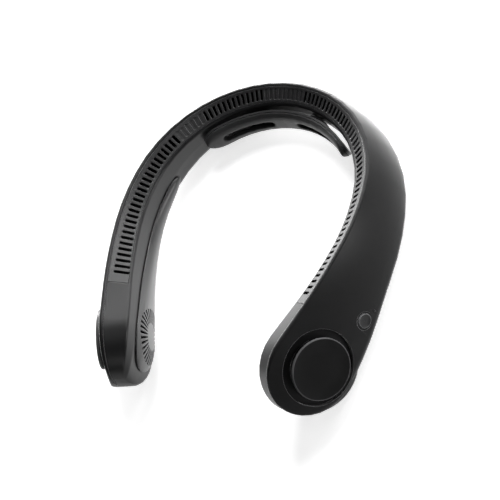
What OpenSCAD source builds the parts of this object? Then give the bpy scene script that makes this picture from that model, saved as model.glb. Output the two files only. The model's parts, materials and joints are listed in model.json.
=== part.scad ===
// Electric neck fan: a hollow U-shaped band with a double-inlet blower in each end.
// Frame: it lies as on a table, on the undersides of its two ends and its two shoulders.
// X runs to the right as seen from the open front, Y towards the nape, Z up, origin under its middle.
// Inside, all is modelled in a level frame, with the vent strip's centreline flat at height zero.

/* [Neck curve] */
// Radius of the band's centreline round the nape
nape_r = 89; // [85:1:93]
// Turn of the nape arc on each side, in degrees
nape_turn = 42; // [40:1:44]
// Radius of the centreline round each shoulder
shoulder_r = 77; // [74:1:81]
// Turn of each shoulder arc, in degrees
shoulder_turn = 40; // [38:1:42]
// Radius of the centreline along each arm
arm_r = 125; // [118:1:132]
// Turn of each arm arc, in degrees
arm_turn = 18; // [16:1:20]
// Radius of the centreline near each end
end_r = 280; // [260:5:300]
// Turn of each end arc, in degrees
end_turn = 10; // [9:0.5:11]
// Straight run from the last arc to the fan's axis
end_run = 23.5; // [21:0.5:26]

/* [Band section] */
// Depth of the band at mid arm
band_h = 40; // [39:0.5:42]
// Wall of the shells
wall = 1.8; // [1.6:0.1:2]
// Width of the outer shell's rim beside the vent strip
rim_w = 3.2; // [2.8:0.1:3.6]
// Inner edge of the vent strip, from the centreline
lip_e = 5.5; // [5.2:0.1:5.8]
// Inner shoulder of the band, from the centreline
shoulder_e = 7.3; // [7.1:0.1:7.8]
// Rounding of the band's top outer edge
rim_round = 2; // [1.8:0.1:2.2]
// Rounding of the band's inner shoulder
lip_round = 2.4; // [2.2:0.1:2.5]
// Rounding of the outer foot
foot_round = 5.6; // [5:0.1:6]
// Rounding of the inner foot
belly_round = 8; // [7.4:0.1:8.4]

/* [Bulbs] */
// Radius of each round end
bulb_r = 32.5; // [32:0.25:34]
// Tilt of the fan axis above level, in degrees
fan_tilt = 21.4; // [20:0.2:23]
// Turn of the fan axis past the band's outward direction, in degrees
fan_yaw = 1.5; // [0:0.5:3]
// Fan axis below the middle of the round end
fan_drop = 2.5; // [2:0.1:3]
// Fan axis behind the middle of the round end
fan_back = 2; // [1.5:0.1:2.5]
// Fan axis outward of the band's centreline
fan_out = 11.8; // [11:0.1:12.4]
// Fan axis below the vent strip
fan_down = 29.9; // [29.4:0.1:31]
// Outer face of the bulb, along the fan axis from its middle
bulb_out = 12.3; // [12:0.1:13]
// Inner face of the bulb, along the fan axis from its middle
bulb_in = 15.4; // [15:0.1:16.2]

/* [Vent strip] */
// Distance between slots at the nape
slot_pitch = 3.6; // [3.5:0.05:3.7]
// Width of a slot
slot_w = 2.2; // [1.9:0.05:2.4]
// Length of a slot at the nape
slot_l = 8; // [7:0.1:8.4]
// Thickness of the vent strip
strip_t = 1.4; // [1.2:0.1:1.6]
// Depth of the blind grooves
groove_d = 0.5; // [0.3:0.1:0.7]
// Strip left past the last slot
strip_tail = 8; // [7:0.5:9]

/* [Fans] */
// Radius of the impeller
impeller_r = 19.8; // [19:0.1:20]
// Width of the impeller along its axis
impeller_w = 13; // [12:0.1:13.2]
// Radius at which the blades start
blade_in_r = 15.5; // [15:0.1:16]
// Thickness of a blade
blade_t = 0.7; // [0.6:0.05:0.9]
// Radius of the steel rotor cup
rotor_r = 10.2; // [9.8:0.1:10.6]
// Radius of the shaft
shaft_r = 1; // [0.9:0.05:1.2]
// Radius of the cap's face
cap_r = 20.4; // [19.8:0.1:21]
// Thickness of the cap
cap_t = 2; // [1.6:0.1:2.2]
// Radius of the recess round the cap
recess_r = 25.1; // [24.6:0.1:25.4]
// Depth of the recess below the bulb's outer face
recess_d = 2.8; // [2.6:0.1:3]
// Cap's face above the bulb's outer face
cap_rise = 4.7; // [4.3:0.1:5]
// Radius of the inner grille
grille_r = 20; // [19.4:0.1:20.4]
// Radius of the plain disc in the grille's middle
grille_hub_r = 9.5; // [9:0.1:10]

/* [Covers and pad] */
// Thickness of the inner covers
cover_t = 1.4; // [1.2:0.1:1.6]
// Rise of the inner covers over the band's inner face
cover_rise = 2.6; // [2.4:0.1:3]
// Gap between the band and the neck pad
pad_gap = 3; // [2.6:0.1:3.6]
// Height of the neck pad
pad_h = 19; // [18:0.25:20]
// Middle of the neck pad below the vent strip
pad_drop = 14.2; // [13.6:0.1:14.8]
// Thickness of the soft pad
pad_t = 4; // [3.4:0.1:4.6]
// Thickness of the pad's stiff back plate
pad_plate_t = 1.6; // [1.2:0.1:1.8]
// Radius of the back of the neck pad
pad_back_r = 82; // [80:0.5:83]
// Half of the pad's sweep, in degrees
pad_sweep = 46; // [44:0.5:47]

/* [Battery and board] */
// Thickness of a battery cell
cell_t = 10; // [9:0.2:10.4]
// Height of a battery cell
cell_h = 17; // [15:0.5:17.5]
// Length of a battery cell
cell_l = 44; // [40:1:45]
// Length of the main board
board_l = 24; // [22:0.5:26]
// Width of the main board
board_w = 12; // [11:0.5:12.5]
// Radius of the power button
button_r = 4.7; // [4.4:0.1:5]
// Travel of the power button
button_travel = 0.5; // [0.4:0.05:0.6]

/* [Hidden] */
$fn = 48;

// Gap at every seam between shells
seam = 0.15;
// Clearance between pieces that sit in one another
fit_gap = 0.2;
// Overrun of every cut past the surface that it opens
over = 1;
// Floor of the inner shell below the vent strip
floor_t = 1.2;

// Shares of band_h at the nape, the shoulder and mid arm: the rim along the strip
rim_shares = [0.21, 0.23, 0.268];
// The outer foot, outward and up
foot_shares = [[0.29, -0.52], [0.405, -0.77], [0.645, -0.98]];
// The bulge of the outer face between rim and foot
bulge_shares = [0.03, 0.055, 0.075, 0.02];
// The inner foot, outward and up
belly_shares = [[-0.17, -0.5], [-0.1, -0.65], [0.03, -1]];
// The waist of the inner face, outward and up
waist_shares = [[-0.17, -0.25], [-0.15, -0.33], [-0.13, -0.45]];
// Shares of the bulb's inner depth and of its radius: waist and belly along and across the axis
bulb_waist_shares = [-0.72, 0.66];
bulb_belly_shares = [-1.06, -0.83];
// Tilts of the vent strip at the nape, the shoulder, mid arm and the bulb, in degrees
strip_tilts = [28, 31, 39, 31.5];
// Slot lengths there, as shares of slot_l
slot_shares = [1, 0.96, 1.05, 1.75];
// How much the slot pitch has grown at the last slot
pitch_growth_share = 0.089;

// Arcs of the centreline on one side, and where each starts
arc_radii = [nape_r, shoulder_r, arm_r, end_r];
arc_turns = [nape_turn, shoulder_turn, arm_turn, end_turn];
function knot(i) = i == 0 ? [0, 0, 0] :
    let (k = knot(i - 1), r = arc_radii[i - 1], a = k.z + arc_turns[i - 1])
    [k.x + r * (sin(a) - sin(k.z)), k.y + r * (cos(a) - cos(k.z)), a];
function start(i) = i == 0 ? 0 : start(i - 1) + arc_radii[i - 1] * arc_turns[i - 1] * PI / 180;
knots = [for (i = [0:4]) knot(i)];
starts = [for (i = [0:4]) start(i)];
fan_s = starts[4] + end_run;
key_s = [0, starts[1], starts[3], fan_s];

// Place and heading of the centreline at a distance from the nape on the right side
function place(s) =
    let (i = s < starts[1] ? 0 : s < starts[2] ? 1 : s < starts[3] ? 2 : s < starts[4] ? 3 : 4)
    let (k = knots[i], d = s - starts[i])
    i == 4 ? [k.x + d * cos(k.z), k.y - d * sin(k.z), k.z] :
    let (r = arc_radii[i], a = k.z + d / r * 180 / PI)
    [k.x + r * (sin(a) - sin(k.z)), k.y + r * (cos(a) - cos(k.z)), a];

// Smooth run of a value or a point through its four key stations
function slope(v, i) = i == 0 ? 0 * v[0] :
    i == 3 ? (v[3] - v[2]) / (key_s[3] - key_s[2]) :
    (v[i + 1] - v[i - 1]) / (key_s[i + 1] - key_s[i - 1]);
function run(s, v, level = false) =
    let (i = s < key_s[1] ? 0 : s < key_s[2] ? 1 : 2, w = key_s[i + 1] - key_s[i])
    let (x = min(1, (s - key_s[i]) / w), x2 = x * x, x3 = x2 * x)
    (2 * x3 - 3 * x2 + 1) * v[i] + (x3 - 2 * x2 + x) * w * slope(v, i) +
    (3 * x2 - 2 * x3) * v[i + 1] + (x3 - x2) * w * (level && i == 2 ? 0 * v[0] : slope(v, i + 1));

// Places in a cross-section: outward and up from the centreline
function along_strip(a, e, h) = [e * cos(a) - h * sin(a), e * sin(a) + h * cos(a)];
function by_fan(n, v) = [
    fan_out + n * cos(fan_tilt) - v * sin(fan_tilt),
    n * sin(fan_tilt) + v * cos(fan_tilt) - fan_down
];
function tilt_at(s) = run(s, strip_tilts);
bulb_rim_e = (fan_out * cos(fan_tilt) - fan_down * sin(fan_tilt) + bulb_out)
    / cos(strip_tilts[3] - fan_tilt);
rim_e = concat(rim_shares * band_h, [bulb_rim_e]);
feet = concat(foot_shares * band_h, [by_fan(bulb_out, fan_drop - bulb_r)]);
bellies = concat(belly_shares * band_h,
    [by_fan(bulb_belly_shares[0] * bulb_in, bulb_belly_shares[1] * bulb_r)]);
waists = concat(waist_shares * band_h,
    [by_fan(bulb_waist_shares[0] * bulb_in, bulb_waist_shares[1] * bulb_r)]);
function rim_at(s) = along_strip(tilt_at(s), run(s, rim_e), 0);
function foot_at(s) = run(s, feet, true);
function belly_at(s) = run(s, bellies);
function waist_at(s) = run(s, waists);
function inner_at(s) = along_strip(tilt_at(s), -shoulder_e, 0);

face_stops = [0.25, 0.5, 0.72];

// A rounded corner at b between a and c, in n steps
function unit(v) = v / norm(v);
function corner(a, b, c, r, n) =
    let (u = unit(a - b), w = unit(c - b), half = acos(u * w) / 2, d = r / tan(half))
    let (mid = b + unit(u + w) * r / sin(half), p = b + u * d - mid, q = b + w * d - mid)
    let (turn = acos(p * q / (r * r)))
    [for (i = [0:n]) mid + (sin(turn * (1 - i / n)) * p + sin(turn * i / n) * q) / sin(turn)];

// A line of points moved inward by a wall, to the right of its run
function right_of(d) = [d.y, -d.x];
function inset(p, w) = [for (i = [0:len(p) - 1])
    let (n1 = right_of(unit(p[max(i, 1)] - p[max(i, 1) - 1])))
    let (j = min(i, len(p) - 2), n2 = right_of(unit(p[j + 1] - p[j])), m = unit(n1 + n2))
    p[i] + m * w / (m * n1)];

// The round end: past the fan's axis, heights shrink along a circle and the thickness a little
tip_round_share = 0.62;
tip_mid_n = 0.3 * bulb_out;
function closing(d, r) = sqrt(max(0.0004, 1 - pow(d / r, 2)));
function shrunk(p, k_thick, k_high) =
    let (q = p - by_fan(0, 0))
    let (n = q * [cos(fan_tilt), sin(fan_tilt)], v = q * [-sin(fan_tilt), cos(fan_tilt)])
    by_fan(tip_mid_n + (1 - tip_round_share * (1 - k_thick)) * (n - tip_mid_n),
        fan_drop + k_high * (v - fan_drop));
function at_tip(list, s, r_high) = s <= fan_s ? list :
    let (d = s - fan_s, k = closing(d, r_high)) [for (p = list) shrunk(p, k, k)];

// Stations along one side, close together in the round end
band_steps = 19;
tip_angles = [12, 24, 36, 48, 59, 67, 73, 79, 84.5];
nose_angle = 70;
side_s = concat([for (i = [1:band_steps]) fan_s * i / band_steps],
    [for (a = tip_angles) fan_s + bulb_r * sin(a)]);
function mirrored(list) = concat([for (i = [len(list) - 1:-1:0]) -list[i]], [0], list);
function between(list, low, high) = [for (s = list) if (s > low && s < high) s];

// A ring of points in space from section points at a signed station
function ring(s, points) =
    let (q = place(abs(s)), side = s < 0 ? -1 : 1)
    [for (p = points) [side * (q.x + p.x * sin(q.z)), q.y + p.x * cos(q.z), p.y]];

// A solid swept through rings of 2 n points each: one side's n, then the other side's back again
module swept(rings) {
    m = len(rings[0]);
    n = m / 2;
    last = m * (len(rings) - 1);
    sides = [for (r = [0:len(rings) - 2], i = [0:m - 1])
        let (a = r * m + i, b = r * m + (i + 1) % m) each [[a, b, a + m], [b, b + m, a + m]]];
    caps = [for (i = [0:n - 2]) each [
        [i, m - 2 - i, i + 1], [i, m - 1 - i, m - 2 - i],
        [last + i, last + i + 1, last + m - 2 - i], [last + i, last + m - 2 - i, last + m - 1 - i]
    ]];
    polyhedron(points = [for (r = rings) each r], faces = concat(sides, caps));
}
function reversed(list) = [for (i = [len(list) - 1:-1:0]) list[i]];

// Frames: across the band, on the vent strip, on the outer face, and on a fan's axis
module on_band(s) {
    q = place(abs(s));
    mirror([s < 0 ? 1 : 0, 0, 0]) translate([q.x, q.y, 0]) rotate([0, 0, -q.z]) children();
}
module on_strip(s) {
    on_band(s) rotate([tilt_at(abs(s)), 0, 0]) children();
}
function face_spot(s, x) = let (d = foot_at(s) - rim_at(s))
    rim_at(s) + d * x - right_of(unit(d)) * 4 * x * (1 - x) * band_h * run(s, bulge_shares);
function face_tilt(s, x) = let (d = foot_at(s) - rim_at(s))
    let (t = d - right_of(unit(d)) * 4 * (1 - 2 * x) * band_h * run(s, bulge_shares)) atan2(t.x, -t.y);
function face_depth(s, share) =
    let (m = unit(right_of(waist_at(s) - belly_at(s))), a = face_tilt(s, share))
    ((waist_at(s) - face_spot(s, share)) * m) / ([-cos(a), -sin(a)] * m);
module on_face(s, share) {
    p = face_spot(abs(s), share);
    on_band(s) translate([0, p.x, p.y]) rotate([face_tilt(abs(s), share) - 90, 0, 0]) children();
}
module on_fan(side) {
    p = by_fan(0, 0);
    on_band(side * fan_s) translate([-fan_back, p.x, p.y]) rotate([0, 0, -fan_yaw])
        rotate([fan_tilt - 90, 0, 0]) children();
}

// The neck pad's arc lies round its own centre, in front of the nape's inner face
// It keeps clear of that face both at its middle and at its ends
pad_end_gap = 2;
face_r = nape_r + bellies[0].x;
pad_turned = pad_back_r * [sin(pad_sweep), cos(pad_sweep)];
pad_shift = min(face_r - pad_gap - pad_back_r,
    sqrt(pow(face_r - pad_end_gap, 2) - pow(pad_turned.x, 2)) - pad_turned.y);
pad_y = pad_shift - nape_r;
pad_foot = [0, pad_back_r - pad_plate_t + pad_y, -pad_drop - pad_h / 2];

// The pose on the table: tipped back until both shoulders and both bulbs touch it
function outline(s) = at_tip(concat(
    corner(along_strip(tilt_at(s), 0, 0), rim_at(s), face_spot(s, face_stops[0]), rim_round, 3),
    corner(face_spot(s, face_stops[2]), foot_at(s), belly_at(s), foot_round, 6),
    corner(foot_at(s), belly_at(s), waist_at(s), belly_round, 6)), s, bulb_r);
function skin(stations) = [for (s = stations) each [
    for (p = ring(s, s > fan_s ? at_tip(outline(fan_s), s, bulb_r) : outline(s))) p]];
back_skin = concat(skin([for (i = [0:16]) starts[2] * i / 16]), [pad_foot]);
front_skin = skin([for (i = [-8:8]) fan_s + i * bulb_r / 16]);
function height(p, a) = p.z * cos(a) - p.y * sin(a);
function depth(p, a) = p.y * cos(a) + p.z * sin(a);
function low(points, a) = min([for (p = points) height(p, a)]);
function lay(a, step, n) = n == 0 ? a :
    lay(a + (low(back_skin, a) > low(front_skin, a) ? step : -step), step / 2, n - 1);
lay_tilt = lay(10, 5, 12);
lay_z = -low(concat(back_skin, front_skin), lay_tilt);
tip_skin = skin([fan_s + bulb_r * sin(tip_angles[len(tip_angles) - 1])]);
lay_y = -(max([for (p = skin([0])) depth(p, lay_tilt)]) +
    min([for (p = tip_skin) depth(p, lay_tilt)])) / 2;
module posed() {
    translate([0, lay_y, lay_z]) rotate([-lay_tilt, 0, 0]) children();
}

// Vent strip: slots are numbered from the nape, open ones in two groups on each side
last_slot = 50;
blind_mid = 4;
inner_open = [5:17];
outer_open = [24:last_slot];
blind_side = [18:23];
function slot_at(u) = slot_pitch * u * (1 + pitch_growth_share * pow(u / last_slot, 2));
function slot_len(s) = slot_l * run(s, slot_shares);
strip_s = slot_at(last_slot) + strip_tail;
rebate = strip_t + seam;
window_rib = 1;

// Shells
foot_rim = 1;
foot_steps = 6;
waist_round = 12;
function corner_run(a, b, c, r) = r / tan(acos(unit(a - b) * unit(c - b)) / 2);
function foot_seam(s, gap) =
    let (a = rim_at(s), b = foot_at(s), c = belly_at(s))
    b + unit(c - b) * (corner_run(a, b, c, foot_round) + foot_rim + gap);
function rim_seam(s, gap) = along_strip(tilt_at(s), run(s, rim_e) - rim_w - gap, 0);
function lid_line(s) =
    let (a = rim_seam(s, 0), b = rim_at(s), c = foot_at(s), d = belly_at(s))
    let (mid = [for (x = face_stops) face_spot(s, x)])
    concat([a], corner(a, b, mid[0], rim_round, 4), mid, corner(mid[2], c, d, foot_round, foot_steps),
        [foot_seam(s, 0)]);
function tub_line(s) =
    let (a = foot_at(s), b = belly_at(s), c = waist_at(s), d = inner_at(s), e = rim_at(s))
    concat([foot_seam(s, seam)], corner(a, b, c, belly_round, foot_steps),
        corner(b, c, d, waist_round, 2), corner(c, d, e, lip_round, 3));
function tub_top(s, sunk, thick) =
    let (a = tilt_at(s), h = -sunk, edge = run(s, rim_e) - rim_w - seam)
    [along_strip(a, -lip_e, thick ? -rebate - floor_t : 0),
     along_strip(a, -lip_e + seam, thick ? -rebate - floor_t : h),
     along_strip(a, edge, thick ? -rebate - floor_t : h)];
// In the nose of each end the shell is solid: its inner side runs straight back to its start
function lined(s, line, inner) = abs(s) < fan_s + bulb_r * sin(nose_angle) ?
    concat(at_tip(line, abs(s), bulb_r), reversed(at_tip(inner, abs(s), bulb_r - wall))) :
    let (p = at_tip(line, abs(s), bulb_r), n = len(p), m = right_of(unit(p[n - 1] - p[0])))
    concat(p, [for (i = [0:n - 1]) let (x = (i + 0.5) / n) p[n - 1] * (1 - x) + p[0] * x - m * seam]);
function tub_ring(s) =
    let (q = min(abs(s), fan_s), sunk = abs(s) < strip_s ? rebate : 0, line = tub_line(q))
    ring(s, lined(s, concat(line, tub_top(q, sunk, false)), concat(inset(line, wall), tub_top(q, 0, true))));
function lid_ring(s) =
    let (q = min(abs(s), fan_s), line = lid_line(q)) ring(s, lined(s, line, inset(line, wall)));
strip_ends = [strip_s - seam, strip_s + seam];
tub_s = concat(between(side_s, 0, strip_ends[0] - 2 * over), strip_ends,
    between(side_s, strip_ends[1] + 2 * over, 2 * fan_s));

// A slot's outline, its width across and its length along Y
module slot_shape(w, l) {
    square([w, l - w], center = true);
    for (y = [-1, 1]) translate([0, y * (l - w) / 2]) circle(d = w);
}
// A ring about Z
module tube(r_out, r_in, low, high) {
    translate([0, 0, low]) difference() {
        cylinder(r = r_out, h = high - low);
        translate([0, 0, -over]) cylinder(r = r_in, h = high - low + 2 * over);
    }
}
module rod(r, low, high) {
    translate([0, 0, low]) cylinder(r = r, h = high - low);
}
module block(size, low) {
    translate([-size.x / 2, -size.y / 2, low]) cube(size);
}

// Fan places along its axis, from the bulb's middle outward
seat = 0.05;
floor_z = bulb_out - recess_d;
recess_floor_t = 1.5;
base_z = floor_z - recess_floor_t;
cup_wall = 1.5;
collar_z = bulb_out - 2.6;
collar_drop = 0.5;
collar_h = 2.2;
collar_rim = 1;
collar_w = 5;
intake_in_r = 11;
intake_out_r = 18.4;
intake_count = 3;
intake_turn = 104;
inlet_r = 18.2;
running_gap = 0.03;
bearing_t = 1;
bearing_l = 3;
tube_wall = 1;
base_t = 1;
base_r = 9.6;
bearing_r = shaft_r + running_gap + bearing_t;
tube_r = bearing_r + seat + tube_wall;
rotor_wall = 0.7;
magnet_t = 1.1;
air_gap = 0.5;
rotor_low = -3.6;
rotor_high = 4.8;
magnet_low = -1.6;
hub_wall = 1;
tube_low = rotor_low + rotor_wall + air_gap;
board_t = 0.8;
stator_h = 5;
stator_low = -1;
stator_r = rotor_r - rotor_wall - seat - magnet_t - air_gap;
stator_poles = 9;
impeller_mid = 0;
blade_count = 36;
blade_lean = 28;
impeller_ring = 0.9;
housing_wall = 1;
housing_low = -8.1;
housing_plate_t = 0.9;
housing_inlet_r = 16.5;
housing_gap = 1.1;
cap_chamfer = 0.6;
cap_stem_r = 8.5;

// Case screws: one between each battery and shoulder, one between board and fan
screw_backs = [1, 31];
screw_s = [starts[2] - screw_backs[0], fan_s - screw_backs[1]];
screw_share = 0.62;
screw_r = 1;
screw_head_r = 2.1;
screw_head_t = 1.1;
screw_l = 9;
boss_r = 2.6;

// Power button and board, measured from the button's middle
button_back = 41.9;
button_s = fan_s - button_back;
button_share = 0.747;
button_rise = 0.5;
button_flange = 1;
button_flange_t = 0.7;
button_gap = 0.3;
button_sag = 0.4;
button_low = wall + button_sag + fit_gap + button_flange_t;
stem_l = 1.2;
stem_r = 1.6;
groove_w = 0.5;
board_x = -5.5;
board_thick = 1.2;
post_r = 1.4;
post_shares = [0.4, 0.3];
post_top = -1.2 * wall;
chip_shares = [0.27, 0.25];
switch_w = 5;
switch_h = 1.85;
switch_floor = 0.6;
plunger_r = 1.4;
plunger_l = 1.6;
board_low = button_low + stem_l + plunger_l + button_travel + fit_gap + switch_floor + 2 * seat + board_thick;
light_r = 0.7;
light_spot = [-9.3, 2.7];

// Charging port
port_back = 28;
port_s = fan_s - port_back;
port_share = 0.55;
port_w = 8.94;
port_t = 3.26;
port_l = 7.3;
port_wall = 0.3;
port_sunk = 0.3;
tongue_w = 6.7;
tongue_t = 0.7;
port_board = [12, 8, 1];

// Battery, its holder and the lead that joins both sides
cell_ease = 1;
cell_s = (screw_s[0] + boss_r + button_s + board_x - board_l / 2) / 2 - cell_ease;
cell_share = 0.6;
cell_sink = wall + 3.1;
holder_t = 1.2;
lead_r = 0.9;
lead_shares = [0.58, 0.64, 0.72, 0.7];
lead_back = 26;
lead_past = 5;
lead_s = [-(fan_s - lead_back), button_s + lead_past];
guide_t = 1.2;
guide_share = 0.36;
guide_rise = 1.6;
guide_ends = [34, 29];
guide_s = [guide_ends[0], fan_s - guide_ends[1]];

// Inner covers
cover_s = 106;
cover_run = 17;
cover_end_r = 23;
cover_edge = 0.5;
grille_slots = 30;
grille_slot_share = 0.5;
grille_rim = 0.7;

// Pad bracket and screws
bracket_turn = 18;
bracket_size = [12, 8];
pad_slot_turn = 21.8;
pad_slot_l = 39.5;
pad_slot_w = 5.4;
pad_end_turn = 9;
pad_end_rise = 2;
bracket_ease = 0.36;
pad_screw_bite = 4.7;
boss_bite = 5.3;
// Where the band's inner face lies behind the brackets, from the pad's own centre
bracket_face_r = sqrt(pow(face_r, 2) - pow(pad_shift * sin(bracket_turn), 2)) - pad_shift * cos(bracket_turn);

// Shells of the case
module outer_shell() {
    color("#26272a") posed() difference() {
        union() {
            swept([for (s = mirrored(side_s)) lid_ring(s)]);
            for (side = [-1, 1]) {
                on_fan(side) {
                    rod(recess_r + cup_wall, base_z, collar_z);
                    translate([0, 0, bulb_out - collar_drop - collar_h])
                        cylinder(r1 = recess_r + collar_w, r2 = recess_r + collar_rim, h = collar_h);
                }
                for (s = screw_s) on_face(side * s, screw_share)
                    rod(boss_r, wall + seam - face_depth(s, screw_share), -0.6 * wall);
            }
            on_face(button_s, button_share) for (y = [-1, 1])
                translate([board_x - board_l * post_shares.x, y * board_w * post_shares.y, 0])
                    rod(post_r, board_thick + seat - board_low, post_top);
        }
        for (side = [-1, 1]) {
            on_fan(side) {
                rod(recess_r, floor_z, bulb_out + cap_rise + over);
                for (i = [0:intake_count - 1]) rotate([0, 0, i * 360 / intake_count])
                    translate([0, 0, base_z - over]) rotate_extrude(angle = intake_turn)
                        translate([intake_in_r, 0])
                            square([intake_out_r - intake_in_r, recess_floor_t + 2 * over]);
            }
            for (s = screw_s) on_face(side * s, screw_share)
                rod(screw_r + seat, -face_depth(s, screw_share), screw_l - face_depth(s, screw_share));
        }
        on_face(button_s, button_share) {
            rod(button_r + button_gap, -2 * wall, over);
            rod(button_r + button_gap + 2 * groove_w, -groove_w, over);
            translate(light_spot) rod(light_r + seat, -2 * wall, over);
        }
    }
}
module inner_shell() {
    color("#2f3034") posed() difference() {
        union() {
            swept([for (s = mirrored(tub_s)) tub_ring(s)]);
            for (side = [-1, 1]) on_pad(side * bracket_turn)
                rod(boss_r, bracket_face_r + wall / 2, bracket_face_r + boss_bite);
        }
        for (side = [-1, 1]) {
            on_fan(side) rod(inlet_r, -2 * bulb_in, housing_low - over);
            for (s = screw_s) on_face(side * s, screw_share) {
                rod(screw_r + fit_gap, -2 * face_depth(s, screw_share), wall + seam - face_depth(s, screw_share) + over);
                rod(screw_head_r + seam, -2 * face_depth(s, screw_share), screw_head_t - face_depth(s, screw_share));
            }
            on_pad(side * bracket_turn) rod(screw_r + seat, pad_back_r, bracket_face_r + boss_bite + over);
            windows(side, inner_open[0], inner_open[2], 3);
            windows(side, outer_open[0], last_slot, 6);
        }
        on_port() translate([0, 0, -2 * wall]) linear_extrude(2 * wall + over)
            rotate(90) slot_shape(port_t + 2 * fit_gap, port_w + 2 * fit_gap);
    }
}
module windows(side, first, last, count) {
    ends = [for (i = [0:count]) slot_at(first - 0.5 + round(i * (last - first + 1) / count))];
    for (i = [0:count - 1]) let (s = (ends[i] + ends[i + 1]) / 2) on_strip(side * s)
        block([ends[i + 1] - ends[i] - window_rib, slot_len(s), floor_t + 2 * over], -rebate - floor_t - over);
}
module vent_strip() {
    function strip_ring(s) = let (a = tilt_at(abs(s)), e = run(abs(s), rim_e) - rim_w - seam)
        ring(s, [for (h = [0, -strip_t], x = h == 0 ? [0, 1, 2] : [2, 1, 0])
            along_strip(a, -lip_e + 2 * seam + (e + lip_e - 2 * seam) * x / 2, h)]);
    module slot(s, depth) {
        on_strip(s) translate([0, 0, -depth]) linear_extrude(depth + over)
            slot_shape(slot_w, slot_len(abs(s)));
    }
    color("#3a3b3f") posed() difference() {
        swept([for (s = mirrored(concat(between(side_s, 0, strip_ends[0] - 2 * over),
            [strip_ends[0] - seam]))) strip_ring(s)]);
        for (side = [-1, 1]) {
            for (u = inner_open) slot(side * slot_at(u), strip_t + over);
            for (u = outer_open) slot(side * slot_at(u), strip_t + over);
            for (u = blind_side) slot(side * slot_at(u), groove_d);
        }
        for (u = [-blind_mid:blind_mid]) slot(slot_at(u), groove_d);
    }
}
module case_screws() {
    color("silver") posed() for (side = [-1, 1], s = screw_s) on_face(side * s, screw_share)
        translate([0, 0, -face_depth(s, screw_share)]) {
            rod(screw_head_r, seat, screw_head_t - seat);
            rod(screw_r, seat, screw_l - seat);
        }
}

// Inner covers with the intake grilles
function cover_points(s, rise, thick) =
    let (q = min(s, fan_s), a = foot_at(q), b = belly_at(q), c = waist_at(q))
    let (low = b + unit(c - b) * corner_run(a, b, c, belly_round), up = unit(c - low))
    let (half = norm(c - low) / 2 - seam, m = -right_of(up))
    let (w = s > fan_s ? closing(s - fan_s, cover_end_r) :
        s < cover_s + cover_run ? closing(cover_s + cover_run - s, cover_run) : 1)
    [for (i = [-4:4]) let (x = i / 4, crown = (1 - pow(abs(x), 3)) * w)
        shrunk((c + low) / 2 + up * half * w * x + m * (2 * seam + rise * crown + thick * (
            cover_edge + (1 - cover_edge) * crown)),
            s > fan_s ? closing(s - fan_s, bulb_r) : 1, 1)];
cover_stations = concat([for (a = [80, 60, 40, 20]) cover_s + cover_run * (1 - sin(a))],
    between(side_s, cover_s + cover_run, fan_s + over),
    [for (a = [15, 30, 45, 58, 70, 82]) fan_s + cover_end_r * sin(a)]);
module inner_cover(side) {
    stations = side > 0 ? cover_stations : -reversed(cover_stations);
    slot_step = 360 / grille_slots;
    color("#4a4c50") posed() difference() {
        swept([for (s = stations) ring(s, concat(cover_points(abs(s), cover_rise, cover_t),
            reversed(cover_points(abs(s), cover_rise, 0))))]);
        on_fan(side) translate([0, 0, -2 * bulb_in]) linear_extrude(2 * bulb_in)
            for (i = [0:grille_slots - 1]) rotate(i * slot_step) polygon([
                for (p = [[grille_hub_r, -1], [grille_r - grille_rim, -1],
                    [grille_r - grille_rim, 1], [grille_hub_r, 1]])
                    [p.x, p.y * PI * p.x * grille_slot_share / grille_slots]]);
    }
}

// Blowers
module outer_cap(side) {
    face = bulb_out + cap_rise;
    color("#1b1c1e") posed() on_fan(side) rotate_extrude() polygon([
        [0, floor_z + seat], [cap_stem_r, floor_z + seat], [cap_stem_r, face - cap_t],
        [cap_r, face - cap_t], [cap_r, face - cap_chamfer], [cap_r - cap_chamfer, face], [0, face]]);
}
module fan_housing(side) {
    r = impeller_r + housing_gap;
    color("#55585c") posed() on_fan(side) difference() {
        union() {
            tube(r + housing_wall, r, housing_low, base_z - seat);
            tube(r + housing_wall / 2, housing_inlet_r, housing_low, housing_low + housing_plate_t);
        }
        translate([-2 * r, -2 * r, housing_low + housing_plate_t])
            cube([2 * r - r / 5, 2 * r - r / 2, base_z - housing_low]);
    }
}
module impeller(side) {
    low = impeller_mid - impeller_w / 2;
    high = impeller_mid + impeller_w / 2;
    hub_low = rotor_low - seat - hub_wall;
    blade_l = impeller_r - blade_in_r - impeller_ring / 2;
    color("#8a8d91") posed() on_fan(side) {
        tube(rotor_r + seat + hub_wall, rotor_r + seat, hub_low, rotor_high);
        rod(rotor_r + seat + hub_wall / 2, hub_low, hub_low + hub_wall);
        tube(impeller_r, rotor_r + seat + hub_wall / 2, impeller_mid - 0.5 * hub_wall, impeller_mid + 0.5 * hub_wall);
        for (z = [low, high - impeller_ring]) tube(impeller_r, impeller_r - impeller_ring, z, z + impeller_ring);
        for (i = [0:blade_count - 1]) rotate([0, 0, i * 360 / blade_count])
            translate([blade_in_r + blade_l / 2, 0, low]) rotate([0, 0, blade_lean])
                translate([-blade_l / 2, -blade_t / 2, 0]) cube([blade_l, blade_t, impeller_w]);
    }
}
module rotor_cup(side) {
    color("#b8bbbf") posed() on_fan(side) {
        tube(rotor_r, rotor_r - rotor_wall, rotor_low, rotor_high);
        tube(rotor_r - rotor_wall / 2, shaft_r + seat / 5, rotor_low, rotor_low + rotor_wall);
    }
}
module rotor_magnet(side) {
    r = rotor_r - rotor_wall - seat;
    color("#3c3f46") posed() on_fan(side) tube(r, r - magnet_t, magnet_low, rotor_high - seat);
}
module shaft(side) {
    color("#d5d8dc") posed() on_fan(side) rod(shaft_r, rotor_low, base_z - base_t - seat);
}
module bearings(side) {
    color("#b08d57") posed() on_fan(side) for (z = [tube_low, base_z - seat - base_t - bearing_l])
        tube(bearing_r, shaft_r + running_gap, z, z + bearing_l);
}
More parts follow.
